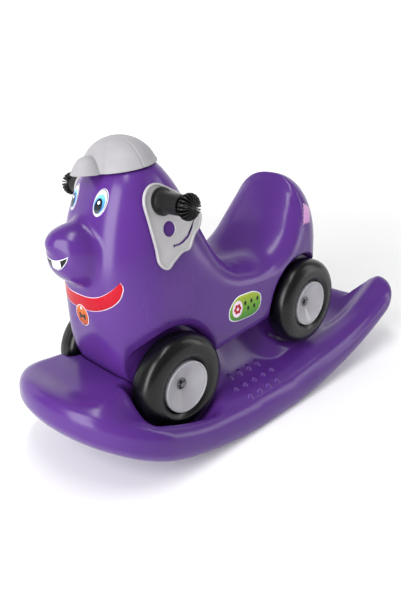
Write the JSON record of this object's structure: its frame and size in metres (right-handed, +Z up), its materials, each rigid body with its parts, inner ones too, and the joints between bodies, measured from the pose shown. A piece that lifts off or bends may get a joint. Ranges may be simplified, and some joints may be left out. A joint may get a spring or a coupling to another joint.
{
  "type": "rocking animal",
  "caption": "Wheeled purple dog ride-on seated in a separate curved rocker base, with handlebar grips, ear plates, peaked cap and free-rolling wheels.",
  "frame": {"origin": "on the floor, at the centre of the bounding box's bottom", "axes": "+X to the dog's left, the dog looks along -Y, +Z up"},
  "size_m": [0.358, 0.892, 0.5501],
  "materials": {
    "rocker_plastic": "glossy purple blow-moulded polyethylene",
    "body_plastic": "glossy purple blow-moulded polyethylene with fine grain on the flanks",
    "plug_plastic": "black, matte",
    "tyre_plastic": "satin black blow-moulded tyre",
    "hub_plastic": "satin light grey",
    "spacer_plastic": "natural, matte",
    "grey_plastic": "satin warm light grey",
    "grip_rubber": "satin black",
    "steel": "zinc-plated steel"
  },
  "bodies": {
    "rocker": {"rocker_base": "rocker_plastic", "vent_plug": "plug_plastic"},
    "dog": {"body_shell": "body_plastic", "front_axle": "steel", "rear_axle": "steel", "cap": "grey_plastic", "handlebar": "steel", "ear_plate_left": "grey_plastic", "ear_plate_right": "grey_plastic", "grip_left": "grip_rubber", "grip_right": "grip_rubber", "spacer_front_left": "spacer_plastic", "nut_front_left": "steel", "spacer_front_right": "spacer_plastic", "nut_front_right": "steel", "spacer_rear_left": "spacer_plastic", "nut_rear_left": "steel", "spacer_rear_right": "spacer_plastic", "nut_rear_right": "steel"},
    "wheel_front_left": {"tyre_front_left": "tyre_plastic", "hub_front_left": "hub_plastic"},
    "wheel_front_right": {"tyre_front_right": "tyre_plastic", "hub_front_right": "hub_plastic"},
    "wheel_rear_left": {"tyre_rear_left": "tyre_plastic", "hub_rear_left": "hub_plastic"},
    "wheel_rear_right": {"tyre_rear_right": "tyre_plastic", "hub_rear_right": "hub_plastic"}
  },
  "joints": [
    {"name": "dog_lift", "type": "slide", "parent": "rocker", "child": "dog", "axis": [0, 0, 1], "range_m": [0, 0.14]},
    {"name": "wheel_spin_front_left", "type": "hinge", "parent": "dog", "child": "wheel_front_left", "pos_m": [0.1095, -0.2311, 0.143], "axis": [1, 0, 0], "continuous": true},
    {"name": "wheel_spin_front_right", "type": "hinge", "parent": "dog", "child": "wheel_front_right", "pos_m": [-0.1095, -0.2311, 0.143], "axis": [1, 0, 0], "continuous": true},
    {"name": "wheel_spin_rear_left", "type": "hinge", "parent": "dog", "child": "wheel_rear_left", "pos_m": [0.1095, 0.1246, 0.1905], "axis": [1, 0, 0], "continuous": true},
    {"name": "wheel_spin_rear_right", "type": "hinge", "parent": "dog", "child": "wheel_rear_right", "pos_m": [-0.1095, 0.1246, 0.1905], "axis": [1, 0, 0], "continuous": true}
  ]
}
